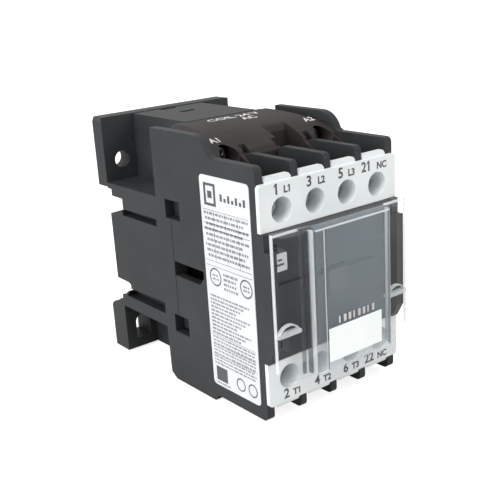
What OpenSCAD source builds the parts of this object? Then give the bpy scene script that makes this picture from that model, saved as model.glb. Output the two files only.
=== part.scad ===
// Four-pole control relay (contactor size) with top coil terminals and a clear front cover.
// Origin: centre line of the 35 mm rail seat on the rear mounting plane.
// +X to the right seen from the front, front faces -Y, +Z up. Depth d below is counted
// forward from the rear plane, so a depth of d sits at Y = -d.

/* [Housing] */
// overall width of the moulded housing
body_w = 47; // [46:0.5:50]
// thickness of the side walls of the front housing
wall_t = 2.4; // [2:0.1:2.6]
// depth of the joint between rear base and front housing
seam_d = 38.6; // [38:0.1:39]
// depth of the front ends of walls and phase barriers
front_d = 76.3; // [76:0.1:76.6]
// depth of the two flanks beside the clear cover
flank_d = 80.2; // [80:0.1:80.6]
// height of the low part of the side walls above the rail centre line
wall_low_z = 33.4; // [33:0.1:34]
// height of the high part of the side walls above the rail centre line
wall_high_z = 38.6; // [38:0.1:39]
// thickness of the phase barriers
barrier_t = 2.1; // [1.8:0.1:2.2]

/* [Mounting] */
// distance between the two upper screw holes
fix_w = 35; // [34:0.5:35]
// height of the upper screw holes above the rail centre line
fix_top_z = 25.6; // [25:0.1:27]
// height of the lower slot centres below the rail centre line
fix_low_z = 27.6; // [27:0.1:28.5]
// radius of the upper screw holes and half width of the slots
fix_r = 2.5; // [2.1:0.05:2.6]
// overall length of the lower slots
slot_len = 7.6; // [6:0.2:8]
// width of the rail that fits the seat
rail_w = 35; // [35:0.1:35.2]

/* [Poles] */
// spacing of the poles
pitch = 11; // [10.9:0.05:11]
// height of the terminal screws above and below the rail centre line
screw_z = 22; // [21.8:0.1:22.4]
// radius of the screw head
head_r = 3.0; // [2.8:0.05:3.05]
// radius of the screw shank
shank_r = 1.75; // [1.5:0.05:1.8]
// radius of the screwdriver holes in the terminal strips
driver_r = 3.25; // [3.2:0.05:3.4]
// rearward travel of the contact carrier
travel = 5; // [3:0.1:5]

/* [Cover] */
// depth of the raised middle of the clear cover
cover_d = 84.35; // [83.5:0.05:85]
// wall thickness of the clear cover
cover_t = 1.4; // [1.2:0.1:1.6]
// right edge of the raised middle of the clear cover, counted from the centre
cover_mid = 14; // [12:0.5:15]
// left edge of the raised middle of the clear cover, counted from the centre
cover_left = 12; // [11:0.5:14]

/* [View] */
// name of the node to draw, or all

/* [Hidden] */
$fn = 48;
half = body_w / 2;
in_x = half - wall_t;
pole_x = [-1.5 * pitch, -0.5 * pitch, 0.5 * pitch, 1.5 * pitch];
bar_x = [-pitch, 0, pitch];
chan_d = 13.0;
seat_z = rail_w / 2 + 0.2;
mid_z = 19.4;
deck_z = 29.3;
low_end = 35.2;
floor_d = 61.9;
plate_d = 75.6;
plate_z = 17.2;
shelf_x = 4.4;
clip_x = 19.6;
pad_t = 1.4;
strip_t = 1.2;
strip_in = 17.3;
strip_out = 29.1;
low_in = 16.9;
low_out = 28.8;
core_x = 7;
core_h = 20;
core_face = 36.4;
arm_face = core_face + travel + 0.1;
coil_d0 = 22.6;
coil_d1 = 35.9;
bar_back = 63.8;
bar_front = 74.8;
tip_t = 0.8;
tip_z = 9.6;
no_tip = floor_d + 0.1 + pad_t + tip_t;
no_bridge = no_tip + travel + 0.2 + tip_t;
nc_pad = 70.4;
nc_bridge_d = nc_pad - 2 * tip_t - 1.0 - 0.02;
screw_head_d = 72.3;
head_t = 2.4;
washer_t = 1.2;
hook_x = 9;
hook_z = seat_z + 0.9;
catch_x = 5;
spring_low = -28.2;
boss_x = 21;
boss_z = 8;
return_x = 12.5;
coil_x = 16.4;
coil_z = 32.2;
coil_shank = 1.5;
coil_head_d = 53.2;
eps = 0.02;

dark = [0.19, 0.20, 0.21];
brown = [0.25, 0.22, 0.22];
pale = [0.88, 0.89, 0.88];
white = [0.94, 0.94, 0.94];
steel = [0.62, 0.63, 0.64];
copper = [0.72, 0.42, 0.24];
brass = [0.76, 0.62, 0.34];

// block between two corners, depth counted forward from the rear plane
module block(x0, x1, d0, d1, z0, z1) {
  translate([x0, -d1, z0])
    cube([x1 - x0, d1 - d0, z1 - z0]);
}

// round bar along the depth direction
module bar_y(x, z, r, d0, d1) {
  translate([x, -d0, z])
    rotate([90, 0, 0])
      cylinder(r = r, h = d1 - d0);
}

// round bar across the width
module bar_across(d, z, r, x0, x1) {
  translate([x0, -d, z])
    rotate([0, 90, 0])
      cylinder(r = r, h = x1 - x0);
}

// side outline given as [depth, height], drawn from x0 to x1
module side_cut(pts, x0, x1) {
  translate([x0, 0, 0])
    rotate([90, 0, 90])
      linear_extrude(height = x1 - x0)
        polygon([for (p = pts) [-p[0], p[1]]]);
}

// front outline given as [x, z], drawn from depth d0 to d1
module face_cut(pts, d0, d1) {
  translate([0, -d0, 0])
    rotate([90, 0, 0])
      linear_extrude(height = d1 - d0)
        polygon(pts);
}

// quarter round of radius r: points from angle a0 to a1 about centre c
function arc(c, r, a0, a1, n = 6) =
  [for (i = [0:n]) [c[0] + r * cos(a0 + (a1 - a0) * i / n), c[1] + r * sin(a0 + (a1 - a0) * i / n)]];

// compression spring drawn as stacked rings on a thin former, along the depth direction
module spring_y(x, z, r, wire, d0, d1, turns) {
  step = (d1 - d0 - wire) / turns;
  for (i = [0:turns])
    translate([x, -(d0 + wire / 2 + i * step), z])
      rotate([90, 0, 0])
        rotate_extrude($fn = 32)
          translate([r, 0])
            circle(r = wire / 2, $fn = 12);
  for (a = [0:1])
    translate([x + (a * 2 - 1) * r, -d0 - wire / 2, z])
      rotate([90, 0, 0])
        cylinder(r = wire * 0.35, h = turns * step);
}

// ---- rear base ----
base_outline = [
  [0, 38.8], [0, 18.1], [5.2, 18.1], [5.4, seat_z], [7.2, seat_z], [7.2, 15.7], [chan_d, 15.6],
  [chan_d, 12.4], [5.4, 10.0], [5.4, -10.6], [12.0, -10.8], [chan_d, -11.4], [chan_d, -13.0],
  [10.2, -14.2], [10.0, -15.6], [7.2, -15.8], [7.2, -seat_z], [5.4, -seat_z], [5.2, -18.2],
  [1.5, -19.5], [0, -20.7], [0, -34.6], [7.6, -34.6], [7.6, -mid_z], [seam_d - 0.1, -mid_z],
  [seam_d - 0.1, mid_z], [5.2, mid_z], [5.2, 38.8]];

module rear_base() {
  color(dark)
    difference() {
      union() {
        side_cut(base_outline, -half, half);
        // narrow chamber for the magnet, above and below the middle body
        block(-12.4, 12.4, 5.1, 33.2, mid_z - 0.5, 38.6);
        block(-12.4, 12.4, 7.5, 31.6, -34.8, -mid_z + 0.5);
      }
      // magnet chamber
      block(-10.4, 10.4, 14.6, 40, -21.2, 21.2);
      // coil room in the middle body
      block(-19.4, 19.4, 21.4, 40, -16.9, 16.9);
      // room above and below the magnet
      block(-10.4, 10.4, 8, 34, 23.2, 36.6);
      block(-10.4, 10.4, 10, 34, -32.8, -23.2);
      // flex slots beside the rail seat
      side_cut([[chan_d - 0.5, 12.5], [chan_d - 0.5, 10.5], [31.0, 10.5], [31.0, 12.7]], -half - 1, -half + 3.4);
      side_cut([[chan_d - 0.5, 12.5], [chan_d - 0.5, 10.5], [31.0, 10.5], [31.0, 12.7]], half - 3.4, half + 1);
      side_cut([[10.2, -15.5], [chan_d - 0.2, -12.6], [31.5, -12.1], [31.5, -15.5]], -half - 1, -half + 3.4);
      side_cut([[10.2, -15.5], [chan_d - 0.2, -12.6], [31.5, -12.1], [31.5, -15.5]], half - 3.4, half + 1);
      // square recesses at the joint
      for (s = [-1, 1]) {
        block(s * (half - 1) - 2, s * (half - 1) + 2, 36.3, 40, 14.2, 21);
        block(s * (half - 1) - 2, s * (half - 1) + 2, 36.3, 40, -21, -14.2);
      }
      // screw holes in the upper flange
      for (s = [-1, 1])
        bar_y(s * fix_w / 2, fix_top_z, fix_r, -1, 7);
      // slots in the lower flange
      for (s = [-1, 1]) {
        bar_y(s * fix_w / 2, -fix_low_z + slot_len / 2 - fix_r, fix_r, -1, 9);
        block(s * fix_w / 2 - fix_r, s * fix_w / 2 + fix_r, -1, 9,
          -fix_low_z - slot_len / 2, -fix_low_z + slot_len / 2 - fix_r);
      }
      // two shallow slots in the top
      block(-3.2, 2.0, 5.8, 7.8, 37.4, 39);
      block(-2.6, 2.6, 15.2, 17.2, 37.4, 39);
      // guide and window of the rail catch
      block(-catch_x - 0.25, catch_x + 0.25, -1, 3.3, -36, -17.0);
      block(-catch_x - 0.25, catch_x + 0.25, 3.2, 7.1, -21.9, -17.0);
      block(-1.9, 1.9, 3.2, 6.9, spring_low, -21.8);
      // mouth for the screwdriver that pulls the catch
      block(-2.8, 2.8, 3.2, 6.0, -36, -31.2);
      // slot that holds the rail hook
      block(-hook_x - 0.05, hook_x + 0.05, 4.5, 14.05, seat_z, hook_z + 0.05);
      // rounded ends of the upper flange
      for (s = [-1, 1])
        face_cut([[s * (half + 1), 39.5], [s * (half - 1.4), 39.5], [s * (half - 0.4), 38.4],
          [s * half, 37.4], [s * (half + 1), 37.4]], -1, 5.19);
      // blind holes of the housing screws
      for (s = [-1, 1])
        for (t = [-1, 1])
          bar_y(s * boss_x, t * boss_z, 1.35, 30, 40);
    }
}

// ---- front housing ----
wall_outline = concat(
  [[31.8, mid_z], [31.8, wall_high_z]],
  arc([50.8, wall_high_z - 7.0], 7.0, 90, 20),
  [[58.4, wall_low_z]],
  arc([front_d - 1.4, wall_low_z - 1.4], 1.4, 90, 0, 4),
  [[front_d, strip_in - 0.1], [flank_d, strip_in - 0.1], [flank_d, -low_in + 0.1], [front_d, -low_in + 0.1]],
  arc([front_d - 1.4, -wall_low_z + 1.6], 1.4, 0, -90, 4),
  [[55.2, -wall_low_z + 0.2], [53.6, -low_end]],
  [[34.6, -low_end]],
  [[32.1, -low_end + 1.6]],
  [[31.8, -mid_z], [seam_d + 0.1, -mid_z], [seam_d + 0.1, mid_z]]);

module side_wall(x0, x1) {
  difference() {
    side_cut(wall_outline, x0, x1);
    block(x0 - 1, x1 + 1, 36, 43.1, 14.2, mid_z + 0.1);
    block(x0 - 1, x1 + 1, 36, 43.1, -mid_z - 0.1, -14.2);
    side_cut([[38, 2.1], [38, -2.1], [50.4, -2.1], [52.4, 0.2], [52.4, 2.1]], x0 - 1, x1 + 1);
    block(x0 - 1, x1 + 1, 78.4, 81, 13.0, 18);
    side_cut([[77.6, -17.5], [80.9, -11.5], [80.9, -17.5]], x0 - 1, x1 + 1);
  }
}

module barrier(x, s) {
  outer = s > 0 ? wall_low_z - 0.4 : wall_low_z - 0.2;
  back = floor_d - 3.4;
  step = deck_z + 0.2;
  pts = concat([[floor_d, 5.2], [floor_d, step], [back, step], [back, outer - 1.4], [back + 2.2, outer]],
    arc([front_d - 1.3, outer - 1.3], 1.3, 90, 0, 4),
    [[front_d, plate_z], [plate_d, plate_z], [plate_d, 5.2]]);
  side_cut([for (p = pts) [p[0], s * p[1]]], x - barrier_t / 2, x + barrier_t / 2);
}

module phase_barriers() {
  color(dark)
    for (x = bar_x)
      for (s = [-1, 1])
        barrier(x, s);
}

// plate behind the clear cover, with a shelf over and under the contacts of each pole
module front_plate() {
  side = in_x - 0.05;
  color(dark)
    difference() {
      union() {
        block(-side, side, plate_d, 77.4, -16.8, 17.1);
        // raised middle
        block(-6.9, 14.4, 77.3, 78.6, 4.4, 14.6);
        block(-6.9, 14.4, 77.3, 78.6, -14.8, 2.6);
        for (s = [-1, 1])
          for (x = pole_x)
            block(x - shelf_x, x + shelf_x, 63.5, plate_d + 0.5, min(s * 14.9, s * 16.5), max(s * 14.9, s * 16.5));
      }
      // window of the carrier nose
      block(-3.9, 3.9, 75, 79, -3.9, 3.9);
      // groove across the plate
      block(-in_x, -6.8, 76.5, 78, 2.9, 4.1);
      // slots for the clips of the clear cover
      for (s = [-1, 1])
        for (z = [-10.5, 10.5])
          block(s * clip_x - 1.1, s * clip_x + 1.1, 75, 78, z - 3.2, z + 3.2);
    }
}

// wall behind the terminals and the deck that runs back from it
module terminal_wall(s) {
  top = s * (deck_z + 0.2);
  block(-in_x - eps, in_x + eps, 58.4, floor_d, min(s * 6.5, top), max(s * 6.5, top));
  block(-in_x - eps, in_x + eps, 33.3, 60, min(s * 27.6, s * deck_z), max(s * 27.6, s * deck_z));
}

// wall that closes the housing behind the deck, around the narrow magnet chamber
module rear_wall() {
  for (s = [-1, 1]) {
    face_cut([[s * 12.6, mid_z + 0.1], [s * (in_x + eps), mid_z + 0.1], [s * (in_x + eps), 34.4],
      [s * 15.4, 38.3], [s * 12.6, 38.3]], 31.85, 33.2);
    block(min(s * 12.6, s * (in_x + eps)), max(s * 12.6, s * (in_x + eps)), 31.85, 33.2, -33.4, -mid_z - 0.1);
  }
  block(-in_x, in_x, 31.85, 33.2, -33.4, -21.6);
}

module front_housing() {
  color(dark)
    difference() {
      union() {
        side_wall(-half, -in_x);
        side_wall(in_x, half);
        for (s = [-1, 1]) {
          terminal_wall(s);
          // bosses of the housing screws
          for (t = [-1, 1])
            bar_y(s * boss_x, t * boss_z, 2.4, seam_d + 0.1, 57);
        }
        rear_wall();
        // closed underside
        block(-in_x - eps, in_x + eps, 34.6, 53.6, -low_end, -low_end + 2);
        // plate between magnet and contacts
        block(-in_x - eps, in_x + eps, 55.5, 58.6, -27.7, 27.7);
      }
      // window of the carrier stem
      block(-9.2, 9.2, 55, 59, -4.5, 4.5);
      // holes of the return springs
      for (s = [-1, 1])
        bar_y(s * return_x, 0, 2.8, 55, 59);
      // clearance holes for the screw ends
      for (x = pole_x)
        for (s = [-1, 1])
          bar_y(x, s * screw_z, shank_r + 0.35, 54.9, 63);
      // room for the carrier bar
      block(-20.8, 20.8, 58.5, 62, -4.7, 4.7);
      // contact room of the normally closed pole
      block(1.5 * pitch - 4.4, 1.5 * pitch + 4.4, 58.59, 63, -13.2, 13.2);
      // holes of the housing screws
      for (s = [-1, 1])
        for (t = [-1, 1])
          bar_y(s * boss_x, t * boss_z, 1.45, 38, 60);
    }
}

// ---- terminal strips ----
module strip(s, z_in, z_out) {
  difference() {
    union() {
      face_cut([[-half, s * z_in], [half, s * z_in], [half, s * (z_out - 0.6)], [half - 0.6, s * z_out],
        [-half + 0.6, s * z_out], [-half, s * (z_out - 0.6)]], front_d + eps, front_d + strip_t);
      for (x = pole_x) {
        // tongue that closes the front of each terminal chamber
        face_cut([[x - 4.25, s * (z_in + 0.1)], [x + 4.25, s * (z_in + 0.1)], [x + 4.25, s * (z_out + 0.5)],
          [x + 3.6, s * (z_out + 1.3)], [x - 3.6, s * (z_out + 1.3)], [x - 4.25, s * (z_out + 0.5)]], 74.8, front_d + 0.1);
        bar_y(x, s * screw_z, 4.2, 71.4, 75);
      }
    }
    for (x = pole_x)
      bar_y(x, s * screw_z, driver_r, 71, 80);
  }
}

module top_terminal_strip() {
  color(pale) strip(1, strip_in, strip_out);
}

module bottom_terminal_strip() {
  color(pale) strip(-1, low_in, low_out);
}

// ---- labels ----
module rating_label() {
  color(white)
    translate([-half - 0.16, 0, 0])
      rotate([90, 0, 90])
        linear_extrude(height = 0.16)
          polygon(concat(arc([-55.0, 27.8], 1.2, 0, 90, 4), arc([-72.8, 27.8], 1.2, 90, 180, 4),
            arc([-72.8, -28.4], 1.2, 180, 270, 4), arc([-55.0, -28.4], 1.2, 270, 360, 4)));
}

module marker_label() {
  color(white)
    block(-8.7, 10.1, cover_d, cover_d + 0.3, -18.6, -9.6);
}

// ---- coil ----
// top of the coil head: it falls away toward the front along a cubic
function head_z(d) = 38.5 - 4.4 * pow((d - 33.4) / 23.1, 3);

module head_block(d_end, x0, x1) {
  steps = 14;
  curve = [for (i = [0:steps]) let (d = 33.4 + (d_end - 33.4) * i / steps) [d, head_z(d)]];
  end = head_z(d_end);
  side_cut(concat([[33.4, deck_z + eps]], curve,
    [[d_end + 0.7, end - 0.5], [d_end + 1.3, end - 2], [d_end + 1.3, deck_z + eps]]), x0, x1);
}

module head_fin(x0, x1) {
  side_cut([[50.0, head_z(50) - 0.4], [61.2, 30.7], [61.2, deck_z + 0.25], [50.0, deck_z + 0.25]], x0, x1);
}

module coil_head() {
  color(brown)
    difference() {
      union() {
        intersection() {
          union() {
            head_block(49.4, -in_x + 0.1, in_x - 0.1);
            head_block(56.9, -in_x + 0.1, 0.8);
            head_block(56.9, 8.9, in_x - 0.1);
          }
          face_cut([[-in_x + 0.1, deck_z - 1], [-in_x + 0.1, 34.6], [-15.4, 39], [15.4, 39],
            [in_x - 0.1, 34.6], [in_x - 0.1, deck_z - 1]], 30, 60);
        }
        head_fin(-13.2, -12.15);
        head_fin(8.9, 9.9);
        head_fin(in_x - 1.2, in_x - 0.1);
      }
      // screw access of the coil terminals
      for (s = [-1, 1]) {
        bar_y(s * coil_x, coil_z, 3.05, 50.6, 62);
        bar_y(s * coil_x, coil_z, coil_shank + 0.35, 42.6, 47);
      }
      // hollow underside
      block(-11, -1.4, 36, 48, deck_z - 1, 36);
      block(1.4, 11, 36, 48, deck_z - 1, 36);
      block(-1.5, 1.5, 38, 46, deck_z - 1, 36);
      // small notches where the barriers start
      for (x = bar_x)
        block(x - 1.0, x + 1.0, 55.6, 59, 32.4, 37);
      // seats of the coil terminals
      for (s = [-1, 1])
        block(s * coil_x - 3.1, s * coil_x + 3.1, 46.0, 51, deck_z - 1, 35.1);
    }
}

module coil_bobbin() {
  color(brown)
    difference() {
      union() {
        block(-8.3, 8.3, coil_d0, coil_d1, -6.5, 6.5);
        block(-15.6, 15.6, coil_d0, coil_d0 + 1.2, -13.5, 13.5);
        block(-15.6, 15.6, coil_d1 - 1.2, coil_d1, -13.5, 13.5);
      }
      block(-core_x - 0.3, core_x + 0.3, 20, 40, -5.4, 5.4);
    }
}

module coil_winding() {
  color(copper)
    difference() {
      block(-14.9, 14.9, coil_d0 + 1.2 + eps, coil_d1 - 1.2 - eps, -12.9, 12.9);
      block(-8.3 - eps, 8.3 + eps, 20, 40, -6.5 - eps, 6.5 + eps);
    }
}

module coil_terminal(s) {
  color(brass)
    difference() {
      block(s * coil_x - 3, s * coil_x + 3, 47.4, 48.6, deck_z + 0.1, 35.0);
      bar_y(s * coil_x, coil_z, coil_shank + 0.08, 47, 51);
    }
}

module coil_terminal_a1() { coil_terminal(-1); }
module coil_terminal_a2() { coil_terminal(1); }

// slotted and crossed pan head screw along the depth direction
module pan_screw(x, z, hr, sr, d_head, ht, d_end) {
  difference() {
    union() {
      bar_y(x, z, hr, d_head - ht, d_head);
      bar_y(x, z, sr, d_end, d_head - ht + eps);
    }
    block(x - hr - 1, x + hr + 1, d_head - ht * 0.45, d_head + 1, z - 0.4, z + 0.4);
    block(x - 0.4, x + 0.4, d_head - ht * 0.45, d_head + 1, z - hr * 0.7, z + hr * 0.7);
  }
}

module coil_screw(s) {
  color(steel) pan_screw(s * coil_x, coil_z, 2.5, coil_shank, coil_head_d, 2.0, 44.9);
}

module coil_washer(s) {
  under = coil_head_d - 2.0 - 0.05;
  color(steel)
    difference() {
      bar_y(s * coil_x, coil_z, 2.7, under - 0.9, under);
      bar_y(s * coil_x, coil_z, coil_shank + 0.06, 49, 54);
    }
}

module coil_screw_a1() { coil_screw(-1); }
module coil_screw_a2() { coil_screw(1); }
module coil_washer_a1() { coil_washer(-1); }
module coil_washer_a2() { coil_washer(1); }

// ---- magnet ----
module e_block(d_back, d_face, leg) {
  s = d_face > d_back ? 1 : -1;
  a = min(d_back, d_back + s * leg);
  b = max(d_back, d_back + s * leg);
  block(-core_x, core_x, a, b, -core_h, core_h);
  for (z = [[-core_h, -14.2], [-5, 5], [14.2, core_h]])
    block(-core_x, core_x, min(d_back, d_face), max(d_back, d_face), z[0], z[1]);
}

module fixed_core() {
  color(steel)
    difference() {
      e_block(16.2, core_face, 5.4);
      // grooves of the shading rings in the outer pole faces
      for (s = [-1, 1])
        for (z = [15.2, 18.4])
          block(-core_x - 1, core_x + 1, core_face - 1.6, core_face + 1, s * z - 0.5, s * z + 0.5);
    }
}

module shading_rings() {
  color(copper)
    for (s = [-1, 1])
      difference() {
        block(-core_x - 1.2, core_x + 1.2, core_face - 1.5, core_face - 0.5, s * 16.8 - 2.05, s * 16.8 + 2.05);
        block(-core_x - 0.1, core_x + 0.1, core_face - 2, core_face, s * 16.8 - 1.15, s * 16.8 + 1.15);
      }
}

module core_cushion() {
  color([0.12, 0.12, 0.12])
    block(-8.5, 8.5, 14.62, 16.18, -18, 18);
}

module armature() {
  color(steel)
    difference() {
      e_block(50.6, arm_face, 5.0);
      bar_across(48, 0, 1.26, -20, 20);
    }
}

module armature_pin() {
  color(steel)
    bar_across(48, 0, 1.2, -8.7, 8.7);
}

// ---- fixed contacts ----
// tip that meets a bridge, centred at tip_z
module fixed_tip(x, s, d0, d1) {
  block(x - 1.6, x + 1.6, d0, d1, s * tip_z - 1.6, s * tip_z + 1.6);
}

// make contact strip of one pole: s is +1 above and -1 below the carrier
module no_contact(x, s) {
  color(brass)
    difference() {
      union() {
        block(x - 3.4, x + 3.4, floor_d + 0.1, floor_d + 0.1 + pad_t, min(s * 7.6, s * 27.4), max(s * 7.6, s * 27.4));
        fixed_tip(x, s, floor_d + 0.1 + pad_t - eps, no_tip);
      }
      bar_y(x, s * screw_z, shank_r + 0.08, 60, 65);
    }
}

// break contact strip, stepped forward so that the bridge meets it from behind
module nc_contact(x, s) {
  color(brass)
    difference() {
      union() {
        block(x - 3.4, x + 3.4, floor_d + 0.1, floor_d + 0.1 + pad_t, min(s * 13.3, s * 27.4), max(s * 13.3, s * 27.4));
        block(x - 3.4, x + 3.4, floor_d + 0.1, nc_pad + pad_t, min(s * 13.3, s * 14.7), max(s * 13.3, s * 14.7));
        block(x - 3.4, x + 3.4, nc_pad, nc_pad + pad_t, min(s * 7.6, s * 14.7), max(s * 7.6, s * 14.7));
        fixed_tip(x, s, nc_pad - tip_t, nc_pad + eps);
      }
      bar_y(x, s * screw_z, shank_r + 0.08, 60, 65);
    }
}

module line_contact_1() { no_contact(pole_x[0], 1); }
module line_contact_3() { no_contact(pole_x[1], 1); }
module line_contact_5() { no_contact(pole_x[2], 1); }
module line_contact_21() { nc_contact(pole_x[3], 1); }
module load_contact_2() { no_contact(pole_x[0], -1); }
module load_contact_4() { no_contact(pole_x[1], -1); }
module load_contact_6() { no_contact(pole_x[2], -1); }
module load_contact_22() { nc_contact(pole_x[3], -1); }

// ---- terminal screws and clamp washers ----
module terminal_screw(x, s) {
  color(steel) pan_screw(x, s * screw_z, head_r, shank_r, screw_head_d, head_t, 59.4);
}

module clamp_washer(x, s) {
  under = screw_head_d - head_t - 0.05;
  color(steel)
    difference() {
      union() {
        block(x - 3.7, x + 3.7, under - washer_t, under, s * screw_z - 3.7, s * screw_z + 3.7);
        for (t = [-1, 1])
          block(x + t * 3.3 - 0.4, x + t * 3.3 + 0.4, under - washer_t - 0.9, under - washer_t + eps, s * screw_z - 3.7, s * screw_z + 3.7);
      }
      bar_y(x, s * screw_z, shank_r + 0.06, 60, 72);
    }
}

module terminal_screw_1() { terminal_screw(pole_x[0], 1); }
module terminal_screw_3() { terminal_screw(pole_x[1], 1); }
module terminal_screw_5() { terminal_screw(pole_x[2], 1); }
module terminal_screw_21() { terminal_screw(pole_x[3], 1); }
module terminal_screw_2() { terminal_screw(pole_x[0], -1); }
module terminal_screw_4() { terminal_screw(pole_x[1], -1); }
module terminal_screw_6() { terminal_screw(pole_x[2], -1); }
module terminal_screw_22() { terminal_screw(pole_x[3], -1); }
module clamp_washer_1() { clamp_washer(pole_x[0], 1); }
module clamp_washer_3() { clamp_washer(pole_x[1], 1); }
module clamp_washer_5() { clamp_washer(pole_x[2], 1); }
module clamp_washer_21() { clamp_washer(pole_x[3], 1); }
module clamp_washer_2() { clamp_washer(pole_x[0], -1); }
module clamp_washer_4() { clamp_washer(pole_x[1], -1); }
module clamp_washer_6() { clamp_washer(pole_x[2], -1); }
module clamp_washer_22() { clamp_washer(pole_x[3], -1); }

// ---- contact carrier ----
module contact_carrier() {
  color([0.16, 0.16, 0.17])
    difference() {
      union() {
        block(-20.4, 20.4, bar_back, bar_front, -4, 4);
        block(-8.8, 8.8, 50.7, bar_back + eps, -3.9, 3.9);
        for (s = [-1, 1])
          block(s * 8 - 0.8, s * 8 + 0.8, 45.2, 50.8, -3.9, 3.9);
        block(-3.4, 3.4, bar_front - eps, 79.4, -3.4, 3.4);
      }
      for (i = [0:2])
        block(pole_x[i] - 2.7, pole_x[i] + 2.7, no_bridge, 73.4, -5, 5);
      block(pole_x[3] - 2.7, pole_x[3] + 2.7, 65.0, nc_bridge_d + 1.0 + eps, -5, 5);
      bar_across(48, 0, 1.24, -20, 20);
    }
}

// contact bridge with a tip near each end, on the side given by f
module bridge(x, d, f) {
  color(copper)
    union() {
      block(x - 2.4, x + 2.4, d, d + 1.0, -12, 12);
      for (s = [-1, 1])
        block(x - 1.5, x + 1.5, f < 0 ? d - tip_t : d + 1.0 - eps, f < 0 ? d + eps : d + 1.0 + tip_t,
          s * tip_z - 1.5, s * tip_z + 1.5);
    }
}

module bridge_pole_1() { bridge(pole_x[0], no_bridge + eps, -1); }
module bridge_pole_2() { bridge(pole_x[1], no_bridge + eps, -1); }
module bridge_pole_3() { bridge(pole_x[2], no_bridge + eps, -1); }
module bridge_nc() { bridge(pole_x[3], nc_bridge_d, 1); }

module contact_springs() {
  color(steel) {
    for (i = [0:2])
      spring_y(pole_x[i], 0, 1.6, 0.35, no_bridge + 1.0 + 2 * eps, 73.4 - eps, 3);
    spring_y(pole_x[3], 0, 1.6, 0.35, 65.0 + eps, nc_bridge_d - eps, 4);
  }
}

module return_springs() {
  color(steel)
    for (s = [-1, 1])
      spring_y(s * return_x, 0, 2.1, 0.5, coil_d1 + eps, bar_back - eps, 9);
}

// ---- rail hook, catch and its spring ----
module rail_hook() {
  color(steel)
    union() {
      block(-hook_x, hook_x, 4.6, 14, seat_z + 0.05, hook_z);
      block(-hook_x, hook_x, 4.6, 5.6, 16.3, hook_z);
    }
}

module rail_catch() {
  color(steel)
    difference() {
      union() {
        block(-catch_x, catch_x, 1.2, 3.1, -34.4, -19.5);
        side_cut([[1.2, -18.1], [4.3, -16.0], [5.8, -16.0], [5.9, -19.6], [1.2, -19.6]], -catch_x, catch_x);
        block(-1.6, 1.6, 3.0, 6.4, spring_low + 6.1, -19.5);
      }
      // slot for the tip of a screwdriver
      block(-2.4, 2.4, 1, 3.3, -33.4, -32.2);
    }
}

module catch_spring() {
  color(steel)
    translate([0, -5.05, spring_low + 0.05])
      spring_z(1.3, 0.35, 6.0, 5);
}

// compression spring standing on the plane it starts from
module spring_z(r, wire, h, turns) {
  step = (h - wire) / turns;
  for (i = [0:turns])
    translate([0, 0, wire / 2 + i * step])
      rotate_extrude($fn = 32)
        translate([r, 0])
          circle(r = wire / 2, $fn = 12);
  for (s = [-1, 1])
    translate([s * r, 0, wire / 2])
      cylinder(r = wire * 0.35, h = turns * step);
}

// ---- housing screws ----
module housing_screws() {
  color(steel)
    for (s = [-1, 1])
      for (t = [-1, 1])
        difference() {
          bar_y(s * boss_x, t * boss_z, 1.3, 31, 58.4);
          block(s * boss_x - 1, s * boss_x + 1, 57.8, 59, t * boss_z - 0.25, t * boss_z + 0.25);
        }
}

// ---- clear cover ----
module cover_shape(g) {
  // g shrinks the outline inwards for the hollow
  polygon([[-half + g, flank_d + 0.05 - g], [-half + g, 81.5 - g * 0.8], [-cover_left + g * 0.2, cover_d - g],
    [cover_mid - g * 0.2, cover_d - g], [half - g, 81.5 - g * 0.8], [half - g, flank_d + 0.05 - g]]);
}

module clear_cover() {
  color([0.82, 0.86, 0.88, 0.35])
    union() {
      difference() {
        translate([0, 0, -21.3])
          mirror([0, 1, 0])
            linear_extrude(height = 39.3)
              cover_shape(0);
        translate([0, 0, -21.3 + cover_t])
          mirror([0, 1, 0])
            linear_extrude(height = 39.3 - 2 * cover_t)
              cover_shape(cover_t);
        // sloping top edge
        side_cut([[81.4, 18.3], [85.5, 16.9], [85.5, 19]], -half - 1, half + 1);
        // chamfered lower corners
        for (s = [-1, 1])
          face_cut([[s * (half + 1), -22], [s * (half - 3.2), -22], [s * (half - 2.2), -21.2],
            [s * (half + 0.01), -18.4], [s * (half + 1), -18.4]], 78, 86);
      }
      // top and bottom walls that reach back to the strips
      block(-in_x + 0.3, in_x - 0.3, front_d + strip_t + 0.3, 81, 18.0 - cover_t, 18.0);
      block(-in_x + 0.3, in_x - 0.3, front_d + strip_t + 0.3, 81, -21.3, -21.3 + cover_t);
      // clips
      for (s = [-1, 1])
        for (z = [-10.5, 10.5])
          block(s * clip_x - 0.6, s * clip_x + 0.6, 74.6, 81.6, z - 2.6, z + 2.6);
      // finger ledges in the wings
      for (s = [-1, 1])
        block(min(s * 15.4, s * 22.4), max(s * 15.4, s * 22.4), flank_d + 0.3, 81.6, -9.0, -7.8);
    }
}

rear_base();
front_housing();
phase_barriers();
front_plate();
top_terminal_strip();
bottom_terminal_strip();
rating_label();
coil_head();
coil_bobbin();
coil_winding();
coil_terminal_a1();
coil_terminal_a2();
coil_screw_a1();
coil_screw_a2();
coil_washer_a1();
coil_washer_a2();
fixed_core();
shading_rings();
core_cushion();
line_contact_1();
line_contact_3();
line_contact_5();
line_contact_21();
load_contact_2();
load_contact_4();
load_contact_6();
load_contact_22();
terminal_screw_1();
terminal_screw_3();
terminal_screw_5();
terminal_screw_21();
terminal_screw_2();
terminal_screw_4();
terminal_screw_6();
terminal_screw_22();
clamp_washer_1();
clamp_washer_3();
clamp_washer_5();
clamp_washer_21();
clamp_washer_2();
clamp_washer_4();
clamp_washer_6();
clamp_washer_22();
contact_carrier();
armature();
armature_pin();
bridge_pole_1();
bridge_pole_2();
bridge_pole_3();
bridge_nc();
contact_springs();
return_springs();
rail_hook();
rail_catch();
catch_spring();
housing_screws();
clear_cover();
marker_label();
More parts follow.
